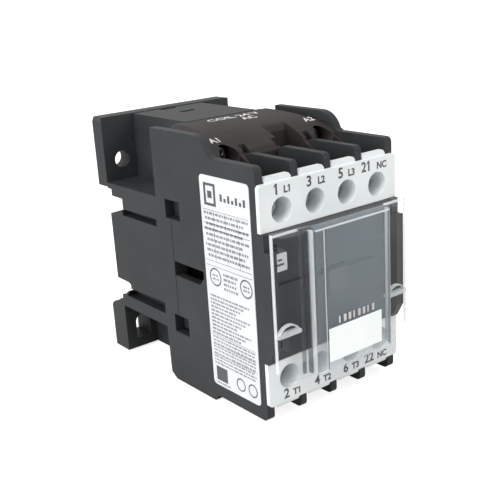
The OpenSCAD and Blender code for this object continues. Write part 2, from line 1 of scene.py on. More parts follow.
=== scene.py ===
import math
import random

import bmesh
import bpy
from mathutils import Matrix, Vector


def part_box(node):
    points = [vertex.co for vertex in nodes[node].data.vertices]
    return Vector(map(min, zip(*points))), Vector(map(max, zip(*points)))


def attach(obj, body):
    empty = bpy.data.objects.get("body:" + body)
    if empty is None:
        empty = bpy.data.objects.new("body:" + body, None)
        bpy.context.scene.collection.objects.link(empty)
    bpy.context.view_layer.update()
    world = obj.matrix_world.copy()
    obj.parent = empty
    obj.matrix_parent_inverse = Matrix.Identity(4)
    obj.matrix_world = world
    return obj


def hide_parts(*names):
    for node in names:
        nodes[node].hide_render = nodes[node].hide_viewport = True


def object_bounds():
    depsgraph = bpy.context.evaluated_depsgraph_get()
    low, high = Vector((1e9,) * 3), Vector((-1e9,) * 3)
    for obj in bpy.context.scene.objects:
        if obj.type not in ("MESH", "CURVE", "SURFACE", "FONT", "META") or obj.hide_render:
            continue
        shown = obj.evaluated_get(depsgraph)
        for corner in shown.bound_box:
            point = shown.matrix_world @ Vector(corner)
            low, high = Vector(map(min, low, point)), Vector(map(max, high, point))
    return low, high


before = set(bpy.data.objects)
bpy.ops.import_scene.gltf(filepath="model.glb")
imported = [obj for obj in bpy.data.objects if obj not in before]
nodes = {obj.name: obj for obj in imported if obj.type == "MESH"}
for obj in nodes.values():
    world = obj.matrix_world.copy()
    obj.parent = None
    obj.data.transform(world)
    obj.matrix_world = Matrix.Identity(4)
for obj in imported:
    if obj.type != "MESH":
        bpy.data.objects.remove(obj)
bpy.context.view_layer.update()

mm = 0.001


# ---- small helpers ----

def at(x, depth, z):
    # x, depth forward from the rear plane and height, all in millimetres
    return Vector((x * mm, -depth * mm, z * mm))


def finishPiece(name, bm, material, body, replaces=(), smooth=30):
    mesh = bpy.data.meshes.new(name)
    bmesh.ops.recalc_face_normals(bm, faces=bm.faces)
    bm.to_mesh(mesh)
    bm.free()
    piece = bpy.data.objects.new(name, mesh)
    bpy.context.collection.objects.link(piece)
    for one in material if isinstance(material, list) else [material]:
        mesh.materials.append(one)
    shadeByAngle(mesh, smooth)
    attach(piece, body)
    if replaces:
        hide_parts(*replaces)
    return piece


def shadeByAngle(mesh, degrees):
    bm = bmesh.new()
    bm.from_mesh(mesh)
    for face in bm.faces:
        face.smooth = True
    for edge in bm.edges:
        if len(edge.link_faces) == 2:
            edge.smooth = edge.calc_face_angle(0) < math.radians(degrees)
    bm.to_mesh(mesh)
    bm.free()


def addBevel(piece, width, segments=2, angle=35):
    bevel = piece.modifiers.new("edge", "BEVEL")
    bevel.width = width * mm
    bevel.segments = segments
    bevel.limit_method = "ANGLE"
    bevel.angle_limit = math.radians(angle)
    bevel.use_clamp_overlap = True
    return bevel


def plainMesh(piece, name):
    # the piece with its modifiers worked in
    graph = bpy.context.evaluated_depsgraph_get()
    mesh = bpy.data.meshes.new_from_object(piece.evaluated_get(graph))
    mesh.name = name
    return mesh


def addBox(bm, x0, x1, d0, d1, z0, z1, index=0):
    corners = [bm.verts.new(at(x, d, z)) for z in (z0, z1) for d in (d0, d1) for x in (x0, x1)]
    for order in ((0, 1, 3, 2), (4, 6, 7, 5), (0, 4, 5, 1), (2, 3, 7, 6), (0, 2, 6, 4), (1, 5, 7, 3)):
        face = bm.faces.new([corners[i] for i in order])
        face.material_index = index


def addPrism(bm, points, place, low, high):
    # closed prism over a flat outline; place(u, v, w) gives the point in space
    bottom = [bm.verts.new(place(u, v, low)) for u, v in points]
    top = [bm.verts.new(place(u, v, high)) for u, v in points]
    count = len(points)
    bm.faces.new(bottom)
    bm.faces.new(list(reversed(top)))
    for i in range(count):
        j = (i + 1) % count
        bm.faces.new([bottom[i], top[i], top[j], bottom[j]])


def ringOf(bm, place, radius, along, steps):
    turn = [2 * math.pi * i / steps for i in range(steps)]
    return [bm.verts.new(place(radius * math.cos(a), radius * math.sin(a), along)) for a in turn]


def addLathe(bm, profile, place, steps=32):
    # surface of revolution; profile holds (radius, along) from one axis point to the other
    rings = []
    for radius, along in profile:
        if radius == 0:
            rings.append([bm.verts.new(place(0, 0, along))])
        else:
            rings.append(ringOf(bm, place, radius, along, steps))
    for one, two in zip(rings, rings[1:]):
        for i in range(steps):
            j = (i + 1) % steps
            if len(one) == 1:
                bm.faces.new([one[0], two[i], two[j]])
            elif len(two) == 1:
                bm.faces.new([one[i], two[0], one[j]])
            else:
                bm.faces.new([one[i], two[i], two[j], one[j]])


def arcPoints(cx, cy, radius, start, end, steps):
    turn = [math.radians(start + (end - start) * i / steps) for i in range(steps + 1)]
    return [(cx + radius * math.cos(a), cy + radius * math.sin(a)) for a in turn]


def roundedBox(u0, u1, v0, v1, radius, steps=5):
    corners = ((u1 - radius, v1 - radius, 0), (u0 + radius, v1 - radius, 90),
               (u0 + radius, v0 + radius, 180), (u1 - radius, v0 + radius, 270))
    return [p for cu, cv, a in corners for p in arcPoints(cu, cv, radius, a, a + 90, steps)]


# ---- materials ----

def newMaterial(name):
    material = bpy.data.materials.new(name)
    material.use_nodes = True
    tree = material.node_tree
    tree.nodes.clear()
    output = tree.nodes.new("ShaderNodeOutputMaterial")
    shader = tree.nodes.new("ShaderNodeBsdfPrincipled")
    tree.links.new(shader.outputs["BSDF"], output.inputs["Surface"])
    coords = tree.nodes.new("ShaderNodeTexCoord")
    return material, tree, shader, coords


def addNoise(tree, coords, scale, detail=3.0, stretch=None):
    noise = tree.nodes.new("ShaderNodeTexNoise")
    noise.inputs["Scale"].default_value = scale
    noise.inputs["Detail"].default_value = detail
    source = coords.outputs["Object"]
    if stretch:
        mapping = tree.nodes.new("ShaderNodeMapping")
        mapping.inputs["Scale"].default_value = stretch
        tree.links.new(source, mapping.inputs["Vector"])
        source = mapping.outputs["Vector"]
    tree.links.new(source, noise.inputs["Vector"])
    return noise.outputs["Fac"]


def spread(tree, factor, low, high):
    ranged = tree.nodes.new("ShaderNodeMapRange")
    ranged.inputs["From Min"].default_value = 0.3
    ranged.inputs["From Max"].default_value = 0.7
    ranged.inputs["To Min"].default_value = low
    ranged.inputs["To Max"].default_value = high
    tree.links.new(factor, ranged.inputs["Value"])
    return ranged.outputs["Result"]


def blendColour(tree, factor, one, two):
    mix = tree.nodes.new("ShaderNodeMix")
    mix.data_type = "RGBA"
    mix.inputs["A"].default_value = (*one, 1)
    mix.inputs["B"].default_value = (*two, 1)
    tree.links.new(factor, mix.inputs["Factor"])
    return mix.outputs["Result"]


def addBump(tree, shader, height, distance, strength):
    bump = tree.nodes.new("ShaderNodeBump")
    bump.inputs["Distance"].default_value = distance * mm
    bump.inputs["Strength"].default_value = strength
    tree.links.new(height, bump.inputs["Height"])
    tree.links.new(bump.outputs["Normal"], shader.inputs["Normal"])


def mouldedPlastic(name, dark, light, rough, grain, bump, specular=0.5):
    # moulded plastic: slow colour drift, fine spark-eroded grain in roughness and height
    material, tree, shader, coords = newMaterial(name)
    drift = spread(tree, addNoise(tree, coords, 70), 0, 1)
    tree.links.new(blendColour(tree, drift, dark, light), shader.inputs["Base Color"])
    fine = addNoise(tree, coords, 1000 / grain, 4.0)
    tree.links.new(spread(tree, fine, rough - 0.07, rough + 0.07), shader.inputs["Roughness"])
    shader.inputs["Specular IOR Level"].default_value = specular
    addBump(tree, shader, fine, grain * 0.25, bump)
    return material


def drawnMetal(name, dark, light, rough, stretch, bump=0.15):
    # metal with fine drawing or grinding marks along one direction
    material, tree, shader, coords = newMaterial(name)
    marks = addNoise(tree, coords, 900, 4.0, stretch)
    tree.links.new(blendColour(tree, spread(tree, marks, 0, 1), dark, light), shader.inputs["Base Color"])
    tree.links.new(spread(tree, marks, rough - 0.08, rough + 0.1), shader.inputs["Roughness"])
    shader.inputs["Metallic"].default_value = 1.0
    addBump(tree, shader, marks, 0.02, bump)
    return material


def layeredSteel(name):
    # stacked laminations, 0.5 mm each across the width
    material, tree, shader, coords = newMaterial(name)
    wave = tree.nodes.new("ShaderNodeTexWave")
    wave.bands_direction = "X"
    wave.inputs["Scale"].default_value = 310
    wave.inputs["Distortion"].default_value = 0.3
    tree.links.new(coords.outputs["Object"], wave.inputs["Vector"])
    colour = blendColour(tree, wave.outputs["Fac"], (0.09, 0.09, 0.09), (0.36, 0.36, 0.37))
    tree.links.new(colour, shader.inputs["Base Color"])
    tree.links.new(spread(tree, addNoise(tree, coords, 500), 0.3, 0.5), shader.inputs["Roughness"])
    shader.inputs["Metallic"].default_value = 0.9
    addBump(tree, shader, wave.outputs["Fac"], 0.08, 0.5)
    return material


def woundCopper(name):
    # enamelled wire turns stacked along the depth
    material, tree, shader, coords = newMaterial(name)
    wave = tree.nodes.new("ShaderNodeTexWave")
    wave.bands_direction = "Y"
    wave.inputs["Scale"].default_value = 800
    wave.inputs["Distortion"].default_value = 0.6
    tree.links.new(coords.outputs["Object"], wave.inputs["Vector"])
    colour = blendColour(tree, wave.outputs["Fac"], (0.16, 0.045, 0.015), (0.62, 0.24, 0.09))
    tree.links.new(colour, shader.inputs["Base Color"])
    shader.inputs["Metallic"].default_value = 0.8
    tree.links.new(spread(tree, addNoise(tree, coords, 600), 0.2, 0.4), shader.inputs["Roughness"])
    addBump(tree, shader, wave.outputs["Fac"], 0.1, 0.7)
    return material


def clearPlastic(name, haze, colour, edge):
    # thin clear moulding: see-through, with a milky veil that thickens toward grazing views
    material, tree, shader, coords = newMaterial(name)
    weight = tree.nodes.new("ShaderNodeLayerWeight")
    weight.inputs["Blend"].default_value = 0.2
    veil = tree.nodes.new("ShaderNodeMapRange")
    veil.inputs["To Min"].default_value = haze
    veil.inputs["To Max"].default_value = edge
    tree.links.new(weight.outputs["Facing"], veil.inputs["Value"])
    tree.links.new(veil.outputs["Result"], shader.inputs["Alpha"])
    drift = spread(tree, addNoise(tree, coords, 40, 2.0), 0, 1)
    tree.links.new(blendColour(tree, drift, colour, [c * 1.08 for c in colour]), shader.inputs["Base Color"])
    fine = addNoise(tree, coords, 300, 2.0)
    tree.links.new(spread(tree, fine, 0.05, 0.12), shader.inputs["Roughness"])
    addBump(tree, shader, addNoise(tree, coords, 60, 1.0), 0.03, 0.4)
    material.surface_render_method = "BLENDED"
    return material


blackPlastic = mouldedPlastic("blackHousing", (0.012, 0.0135, 0.015), (0.020, 0.0215, 0.023),
                              0.5, 0.35, 0.35, 0.45)
brownPlastic = mouldedPlastic("brownHead", (0.017, 0.0125, 0.0125), (0.026, 0.020, 0.020),
                              0.55, 0.35, 0.3, 0.32)
palePlastic = mouldedPlastic("paleStrip", (0.62, 0.65, 0.65), (0.68, 0.71, 0.71), 0.42, 0.4, 0.2)
satinBlack = mouldedPlastic("satinCarrier", (0.02, 0.02, 0.022), (0.03, 0.03, 0.032), 0.38, 0.5, 0.2)
bobbinPlastic = mouldedPlastic("bobbinPlastic", (0.05, 0.04, 0.03), (0.07, 0.055, 0.045), 0.45, 0.5, 0.2)
rubberPad = mouldedPlastic("rubberPad", (0.015, 0.015, 0.015), (0.025, 0.025, 0.025), 0.8, 0.6, 0.6)
labelFilm = mouldedPlastic("labelFilm", (0.54, 0.55, 0.57), (0.60, 0.61, 0.63), 0.35, 1.2, 0.08)
whiteCard = mouldedPlastic("whiteMarker", (0.78, 0.82, 0.81), (0.84, 0.87, 0.86), 0.4, 1.0, 0.05)
greyInk = mouldedPlastic("greyInk", (0.05, 0.05, 0.052), (0.09, 0.09, 0.095), 0.6, 0.3, 0.1)
paleInk = mouldedPlastic("paleInk", (0.42, 0.41, 0.40), (0.62, 0.61, 0.60), 0.6, 0.3, 0.1)
faintInk = mouldedPlastic("faintInk", (0.15, 0.152, 0.16), (0.28, 0.285, 0.3), 0.6, 0.3, 0.1)
zincSteel = drawnMetal("zincSteel", (0.42, 0.43, 0.43), (0.66, 0.67, 0.67), 0.32, (1, 1, 1))
darkSteel = drawnMetal("darkSteel", (0.10, 0.10, 0.10), (0.2, 0.2, 0.2), 0.45, (1, 1, 1))
brightZinc = drawnMetal("brightZinc", (0.66, 0.69, 0.70), (0.88, 0.90, 0.90), 0.4, (1, 1, 1))
springSteel = drawnMetal("springSteel", (0.32, 0.32, 0.33), (0.5, 0.5, 0.51), 0.3, (1, 6, 1))
contactBrass = drawnMetal("contactBrass", (0.48, 0.33, 0.12), (0.72, 0.55, 0.27), 0.33, (1, 1, 12))
bridgeCopper = drawnMetal("bridgeCopper", (0.50, 0.24, 0.13), (0.76, 0.44, 0.30), 0.33, (1, 1, 12))
magnetSteel = layeredSteel("magnetSteel")
coilCopper = woundCopper("coilCopper")
coverWing = clearPlastic("coverWing", 0.002, (0.80, 0.81, 0.82), 0.12)
coverFront = clearPlastic("coverFront", 0.085, (0.55, 0.63, 0.69), 0.35)
# the next two are painted light: a whitish veil for highlights caught in the thick edges of the cover, and a
# dark veil for painted shade where those edges bend the light
coverHighlight = clearPlastic("coverHighlight", 0.3, (0.78, 0.81, 0.83), 0.9)
coverShade = clearPlastic("coverShade", 0.3, (0.05, 0.06, 0.07), 0.7)
print("materials made")


# ---- CAD pieces that keep their shape ----

kept = {
    "rear_base": (blackPlastic, 0.25), "front_housing": (blackPlastic, 0.22),
    "phase_barriers": (blackPlastic, 0.2), "front_plate": (blackPlastic, 0.15),
    "coil_head": (brownPlastic, 0.2),
    "top_terminal_strip": (palePlastic, 0.2), "bottom_terminal_strip": (palePlastic, 0.2),
    "coil_bobbin": (bobbinPlastic, 0.2), "coil_winding": (coilCopper, 0.8),
    "fixed_core": (magnetSteel, 0.1), "armature": (magnetSteel, 0.1), "shading_rings": (bridgeCopper, 0.1),
    "core_cushion": (rubberPad, 0.3), "armature_pin": (zincSteel, 0.15),
    "contact_carrier": (satinBlack, 0.2), "rail_hook": (zincSteel, 0.1), "rail_catch": (zincSteel, 0.15),
    "housing_screws": (zincSteel, 0.1), "rating_label": (labelFilm, 0), "marker_label": (whiteCard, 0.08),
}


def finishOf(name):
    if name in kept:
        return kept[name]
    if "washer" in name:
        return zincSteel, 0.12
    if "bridge" in name:
        return bridgeCopper, 0.12
    if "contact_" in name or "coil_terminal" in name:
        return contactBrass, 0.12
    return zincSteel, 0


for name, piece in nodes.items():
    material, edge = finishOf(name)
    piece.data.materials.clear()
    piece.data.materials.append(material)
    if edge:
        weld = piece.modifiers.new("weld", "WELD")
        weld.merge_threshold = 0.000002
        addBevel(piece, edge)
print("CAD pieces finished", len(nodes))


# ---- Geometry Nodes: copies in a row, and a wire helix ----

def newTree(name, inputs):
    tree = bpy.data.node_groups.new(name, "GeometryNodeTree")
    tree.interface.new_socket("Geometry", in_out="INPUT", socket_type="NodeSocketGeometry")
    for label, kind in inputs:
        tree.interface.new_socket(label, in_out="INPUT", socket_type=kind)
    tree.interface.new_socket("Geometry", in_out="OUTPUT", socket_type="NodeSocketGeometry")
    return tree, tree.nodes.new("NodeGroupInput"), tree.nodes.new("NodeGroupOutput")


def makeRowTree():
    tree, given, out = newTree("rowOfCopies", [("Count", "NodeSocketInt"), ("Step", "NodeSocketVector"),
                                               ("Material", "NodeSocketMaterial")])
    line = tree.nodes.new("GeometryNodeMeshLine")
    copies = tree.nodes.new("GeometryNodeInstanceOnPoints")
    real = tree.nodes.new("GeometryNodeRealizeInstances")
    paint = tree.nodes.new("GeometryNodeSetMaterial")
    tree.links.new(given.outputs["Count"], line.inputs["Count"])
    tree.links.new(given.outputs["Step"], line.inputs["Offset"])
    tree.links.new(line.outputs["Mesh"], copies.inputs["Points"])
    tree.links.new(given.outputs["Geometry"], copies.inputs["Instance"])
    tree.links.new(copies.outputs["Instances"], real.inputs["Geometry"])
    tree.links.new(real.outputs["Geometry"], paint.inputs["Geometry"])
    tree.links.new(given.outputs["Material"], paint.inputs["Material"])
    tree.links.new(paint.outputs["Geometry"], out.inputs["Geometry"])
    return tree


def makeHelixTree():
    tree, given, out = newTree("wireHelix", [("Turns", "NodeSocketFloat"), ("Radius", "NodeSocketFloat"),
                                             ("Height", "NodeSocketFloat"), ("Wire", "NodeSocketFloat"),
                                             ("Material", "NodeSocketMaterial")])
    spiral = tree.nodes.new("GeometryNodeCurveSpiral")
    ring = tree.nodes.new("GeometryNodeCurvePrimitiveCircle")
    sweep = tree.nodes.new("GeometryNodeCurveToMesh")
    real = tree.nodes.new("GeometryNodeRealizeInstances")
    paint = tree.nodes.new("GeometryNodeSetMaterial")
    spiral.inputs["Resolution"].default_value = 28
    ring.inputs["Resolution"].default_value = 10
    sweep.inputs["Fill Caps"].default_value = True
    tree.links.new(given.outputs["Turns"], spiral.inputs["Rotations"])
    tree.links.new(given.outputs["Radius"], spiral.inputs["Start Radius"])
    tree.links.new(given.outputs["Radius"], spiral.inputs["End Radius"])
    tree.links.new(given.outputs["Height"], spiral.inputs["Height"])
    tree.links.new(given.outputs["Wire"], ring.inputs["Radius"])
    tree.links.new(spiral.outputs["Curve"], sweep.inputs["Curve"])
    tree.links.new(ring.outputs["Curve"], sweep.inputs["Profile Curve"])
    tree.links.new(sweep.outputs["Mesh"], real.inputs["Geometry"])
    tree.links.new(real.outputs["Geometry"], paint.inputs["Geometry"])
    tree.links.new(given.outputs["Material"], paint.inputs["Material"])
    tree.links.new(paint.outputs["Geometry"], out.inputs["Geometry"])
    return tree


def grow(tree, mesh, **values):
    # runs a node tree on a mesh and gives the result as a plain mesh
    holder = bpy.data.objects.new("holder", mesh)
    bpy.context.collection.objects.link(holder)
    modifier = holder.modifiers.new("grow", "NODES")
    modifier.node_group = tree
    for item in tree.interface.items_tree:
        if item.in_out == "INPUT" and item.name in values:
            modifier[item.identifier] = values[item.name]
    made = plainMesh(holder, "grown")
    bpy.data.objects.remove(holder)
    return made


rowTree = makeRowTree()
helixTree = makeHelixTree()


def addGrown(bm, mesh, move):
    # adds a grown mesh to a bmesh, moved into place
    start = len(bm.verts)
    bm.from_mesh(mesh)
    bm.verts.ensure_lookup_table()
    for vert in bm.verts[start:]:
        vert.co = move(vert.co)


# ---- springs ----

def springAlongDepth(bm, x, z, radius, wire, d0, d1, turns):
    grown = grow(helixTree, bpy.data.meshes.new("seed"), Turns=turns, Radius=radius * mm,
                 Height=(d1 - d0 - 2 * wire) * mm, Wire=wire * mm, Material=springSteel)
    addGrown(bm, grown, lambda p: Vector((x * mm + p.x, -(d0 + wire) * mm - p.z, z * mm + p.y)))


def makeSprings():
    low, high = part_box("return_springs")
    bm = bmesh.new()
    side = (high.x / mm) - 2.35
    for s in (-1, 1):
        springAlongDepth(bm, s * side, 0, 2.1, 0.25, -high.y / mm, -low.y / mm, 11)
    finishPiece("returnSprings", bm, springSteel, "housing", ["return_springs"], 60)
    low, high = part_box("contact_springs")
    bm = bmesh.new()
    bridges = ["bridge_pole_1", "bridge_pole_2", "bridge_pole_3"]
    for name in bridges:
        one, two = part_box(name)
        springAlongDepth(bm, (one.x + two.x) / 2 / mm, 0, 1.6, 0.17, -one.y / mm, -low.y / mm, 4)
    one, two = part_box("bridge_nc")
    springAlongDepth(bm, (one.x + two.x) / 2 / mm, 0, 1.6, 0.17, -high.y / mm, -two.y / mm, 4)
    finishPiece("contactSprings", bm, springSteel, "carrier", ["contact_springs"], 60)
    low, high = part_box("catch_spring")
    grown = grow(helixTree, bpy.data.meshes.new("seed"), Turns=6.0, Radius=1.3 * mm,
                 Height=high.z - low.z - 0.36 * mm, Wire=0.18 * mm, Material=springSteel)
    bm = bmesh.new()
    middle = (low + high) / 2
    addGrown(bm, grown, lambda p: Vector((middle.x + p.x, middle.y + p.y, low.z + 0.18 * mm + p.z)))
    finishPiece("catchSpring", bm, springSteel, "housing", ["catch_spring"], 60)
    print("springs made")


# ---- screws ----

def alongY(u, v, w):
    return Vector((u * mm, w * mm, v * mm))


def crossedHead(headR, headT, shankR, reach):
    # pan head with rounded rim, straight slot and cross recess; its face is at y = 0 and the shank runs to +Y
    rim = headT * 0.32
    tip, slotHalf, crossReach, steps = 0.4, 0.42, headR * 0.62, 40
    profile = [(0, 0), (headR - rim, 0)]
    for degrees in (30, 60, 90):
        a = math.radians(degrees)
        profile.append((headR - rim + rim * math.sin(a), rim - rim * math.cos(a)))
    profile += [(headR, headT), (shankR, headT), (shankR, reach - tip), (shankR - tip, reach), (0, reach)]
    body = bmesh.new()
    addLathe(body, profile, alongY, steps)
    cutters = bmesh.new()
    depth = headT * 0.5
    for halfU, halfV in ((headR + 0.5, slotHalf), (slotHalf, crossReach)):
        corners = [(-halfU, -halfV), (halfU, -halfV), (halfU, halfV), (-halfU, halfV)]
        addPrism(cutters, corners, alongY, -1, depth)
    cut = []
    for bm in (body, cutters):
        mesh = bpy.data.meshes.new("screwPart")
        bmesh.ops.recalc_face_normals(bm, faces=bm.faces)
        bm.to_mesh(mesh)
        bm.free()
        holder = bpy.data.objects.new("screwPart", mesh)
        bpy.context.collection.objects.link(holder)
        cut.append(holder)
    knife = cut[0].modifiers.new("slots", "BOOLEAN")
    knife.operation = "DIFFERENCE"
    knife.object = cut[1]
    knife.use_self = True
    addBevel(cut[0], 0.08, 2, 40)
    mesh = plainMesh(cut[0], "crossedHead")
    for holder in cut:
        bpy.data.objects.remove(holder)
    return mesh


def threadRidges(shankR, start, reach, metal):
    # one ridge, repeated down the shank at the thread's pitch
    pitch, root, flank, land, steps = 0.6, 0.12, 0.24, 0.05, 32
    crest = shankR + 0.05
    ridge = bmesh.new()
    section = ((shankR - root, -flank), (crest, -land), (crest, land), (shankR - root, flank))
    rings = [ringOf(ridge, alongY, radius, along, steps) for radius, along in section]
    for k in range(4):
        one, two = rings[k], rings[(k + 1) % 4]
        for i in range(steps):
            j = (i + 1) % steps
            ridge.faces.new([one[i], two[i], two[j], one[j]])
    mesh = bpy.data.meshes.new("ridge")
    ridge.to_mesh(mesh)
    ridge.free()
    count = int((reach - 0.5 - start) / pitch)
    return grow(rowTree, mesh, Count=count, Step=(0, pitch * mm, 0), Material=metal)


def makeScrews():
    sizes = {
        "terminal": dict(headR=3.0, headT=2.4, shankR=1.7),
        "coil": dict(headR=2.5, headT=2.0, shankR=1.44),
    }
    metals = {"terminal": brightZinc, "coil": darkSteel}
    made = {}
    for name in nodes:
        kind = name.split("_")[0]
        if "_screw_" not in name or kind not in sizes:
            continue
        values = sizes[kind]
        low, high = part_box(name)
        reach = (high.y - low.y) / mm
        if kind not in made:
            head = crossedHead(reach=reach, **values)
            made[kind] = head, threadRidges(values["shankR"], values["headT"] + 0.6, reach, metals[kind])
        head, ridges = made[kind]
        centre = Vector(((low.x + high.x) / 2, low.y, (low.z + high.z) / 2))
        # each screw stands at its own angle
        angle = Matrix.Rotation(math.radians(18 + 37 * (len(made) + list(nodes).index(name))), 4, "Y")
        bm = bmesh.new()
        addGrown(bm, head, lambda p: centre + angle @ p)
        first = Vector((0, (values["headT"] + 0.6) * mm, 0))
        addGrown(bm, ridges, lambda p: centre + first + p)
        finishPiece(name.replace("_screw_", "Screw_"), bm, metals[kind], name, [name])
    print("screws made")


# ---- clear cover ----

def coverProfile(inset, half, flankD, rimD, frontD, leftX, rightX):
    # section in x and depth, from the left rim round the raised middle to the right rim
    points = [(-half + inset, flankD), (-half + inset, rimD - inset * 0.7)]
    bend = ((0.7, 0.85), (0.35, 0.38), (0, 0.14), (-0.35, 0.04), (-0.7, 0))
    points += [(leftX - out + inset * 0.25, frontD - inset - fall) for out, fall in bend]
    points += [(rightX + out - inset * 0.25, frontD - inset - fall) for out, fall in reversed(bend)]
    return points + [(half - inset, rimD - inset * 0.7), (half - inset, flankD)]


def makeCover():
    low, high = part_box("clear_cover")
    half, top, bottom = high.x / mm, high.z / mm, low.z / mm
    values = dict(half=half, flankD=80.3, rimD=81.5, frontD=-low.y / mm, leftX=-12.0, rightX=14.0)
    bm = bmesh.new()
    levels = [bottom, bottom + 1.3, bottom + 3.0, top - 1.0, top]

    def shaped(x, d, z):
        # lower corners are cut off at an angle, and the top edge slopes back a little
        reach = half if z > bottom + 2.9 else half - 0.8 * (bottom + 3.0 - z)
        return at(max(-reach, min(reach, x)), d if z < top - 0.5 else d - max(0, d - 82.2) * 0.35, z)

    outlines = [coverProfile(0, **values), coverProfile(1.3, **values)]
    count = len(outlines[0])
    grids = [[[bm.verts.new(shaped(x, d, z)) for x, d in outline] for z in levels] for outline in outlines]
    for grid in grids:
        for row in range(len(levels) - 1):
            for i in range(count - 1):
                face = bm.faces.new([grid[row][i], grid[row][i + 1], grid[row + 1][i + 1], grid[row + 1][i]])
                face.material_index = 1 if 3 <= i <= count - 5 else 0
    for row in range(len(levels) - 1):
        for i in (0, count - 1):
            bm.faces.new([grids[0][row][i], grids[1][row][i], grids[1][row + 1][i], grids[0][row + 1][i]])
    for row in (0, len(levels) - 1):
        for i in range(count - 1):
            outer, inner = grids[0][row], grids[1][row]
            face = bm.faces.new([outer[i], outer[i + 1], inner[i + 1], inner[i]])
            face.material_index = 1
    # top and bottom walls that run back to the strips, and the clips
    inside = half - 2.7
    addBox(bm, -inside, inside, 77.8, 82.6, top - 1.5, top - 0.1)
    addBox(bm, -inside + 1, inside - 1, 77.8, 82.6, bottom + 0.1, bottom + 1.5)
    for s in (-1, 1):
        for z in (-10.5, 10.5):
            addBox(bm, s * 19.6 - 0.6, s * 19.6 + 0.6, 74.6, 81.0, z - 2.6, z + 2.6)
    piece = finishPiece("clearCover", bm, [coverWing, coverFront], "clear_cover",
                        ["clear_cover"])
    addBevel(piece, 0.25, 3, 30)
    return values, top, bottom


def makeCoverHighlightsAndShades(values, top, bottom):
    # painted highlight and painted shade: bars of brighter and darker material where the thick edges of the
    # moulding gather or bend the light
    # each bar is left, right, rear, front, foot and top
    half, front, left, right = values["half"], values["frontD"], values["leftX"], values["rightX"]
    low, high = bottom + 0.6, top - 1.2
    highlights = [
        # painted highlights along the outer rims, down to where the corners are cut
        (-half + 0.1, -half + 0.42, 80.5, 81.42, bottom + 3.2, top - 0.3),
        (half - 0.42, half - 0.1, 80.5, 81.42, bottom + 3.2, top - 0.3),
        # painted highlights on the bend on the left of the raised middle, and on the lit line inside it
        (left - 0.85, left - 0.25, 82.2, front - 0.62, low, top - 1.0),
        (left + 2.8, left + 2.92, front - 0.4, front - 0.05, low, high),
        # painted highlight in a thin line beside the right bend
        (right + 0.2, right + 0.45, 82.2, front - 0.5, low, top - 1.0),
        # painted highlights on the upper edges of the wings and of the middle, and on the lower edge of the
        # middle
        (-half + 0.6, left - 3.1, 80.6, 81.35, top - 1.0, top - 0.55),
        (right + 1.3, half - 0.6, 80.6, 81.35, top - 1.0, top - 0.55),
        (left + 0.2, right - 0.2, front - 0.75, front - 0.14, top - 1.45, top - 1.15),
        (left + 0.2, right - 0.2, front - 0.7, front - 0.1, bottom + 0.25, bottom + 0.5),
    ]
    # painted shade: dark bars where the thick edges bend the light away
    shade = [
        (left - 3.1, left - 2.2, 81.0, 81.6, low, high),
        (left - 1.5, left - 1.0, 81.6, front - 1.5, low, high),
        (left + 3.0, left + 3.35, front - 0.5, front - 0.08, low, high),
        (right - 0.35, right + 0.1, front - 0.7, front - 0.25, low, high),
        (right + 0.9, right + 1.3, 81.2, front - 1.9, low, high),
    ]
    for name, bars, material in (("coverHighlights", highlights, coverHighlight), ("coverShades", shade, coverShade)):
        bm = bmesh.new()
        for bar in bars:
            addBox(bm, *bar)
        piece = finishPiece(name, bm, material, "clear_cover")
        addBevel(piece, 0.06, 2, 30)


def makeFingerGrips():
    # straight ledge with a thin arch over it, one in each wing of the cover; both are made in the whitish
    # painted-highlight material, so they show as bright lines
    for s, name in ((-1, "leftGrip"), (1, "rightGrip")):
        bm = bmesh.new()
        place = lambda u, v, w: at(s * 19.3 + u, w, -8.4 + v)
        addPrism(bm, roundedBox(-3.8, 3.8, -0.55, 0.55, 0.3, 3), place, 80.3, 81.9)
        outer = arcPoints(0, -1.4, 3.9, 152, 28, 14)
        inner = arcPoints(0, -1.4, 3.5, 152, 28, 14)
        addPrism(bm, outer + inner[::-1], place, 80.6, 81.75)
        piece = finishPiece(name, bm, coverHighlight, "clear_cover")
        addBevel(piece, 0.1, 2, 30)
    print("cover, its edges and grips made")


# ---- print ----

def textMesh(words, size, weight=0.0):
    curve = bpy.data.curves.new("words", "FONT")
    curve.body = words
    curve.size = size * mm
    curve.extrude = 0.015 * mm
    curve.offset = weight * mm
    curve.align_x = "CENTER"
    curve.resolution_u = 4
    holder = bpy.data.objects.new("words", curve)
    bpy.context.collection.objects.link(holder)
    mesh = plainMesh(holder, "words")
    bpy.data.objects.remove(holder)
    return mesh


def markMesh(words, size, weight):
    # the font's one is a bare stroke, so each one gets a small flag at its top
    mesh = textMesh(words, size, weight)
    bm = bmesh.new()
    bm.from_mesh(mesh)
    if words.endswith("1"):
        edge = max(v.co.x for v in bm.verts)
        tall = max(v.co.y for v in bm.verts)
        stroke = size * 0.1 * mm + 2 * weight * mm
        place = lambda u, v, w: Vector((edge - stroke + u * mm, tall + v * mm, w * mm))
        flag = [(0.05, 0), (-0.13 * size, -0.16 * size), (-0.13 * size, -0.26 * size), (0.05, -0.13 * size)]
        addPrism(bm, flag, place, -0.015, 0.015)
    made = bpy.data.meshes.new("marks")
    bm.to_mesh(made)
    bm.free()
    return made


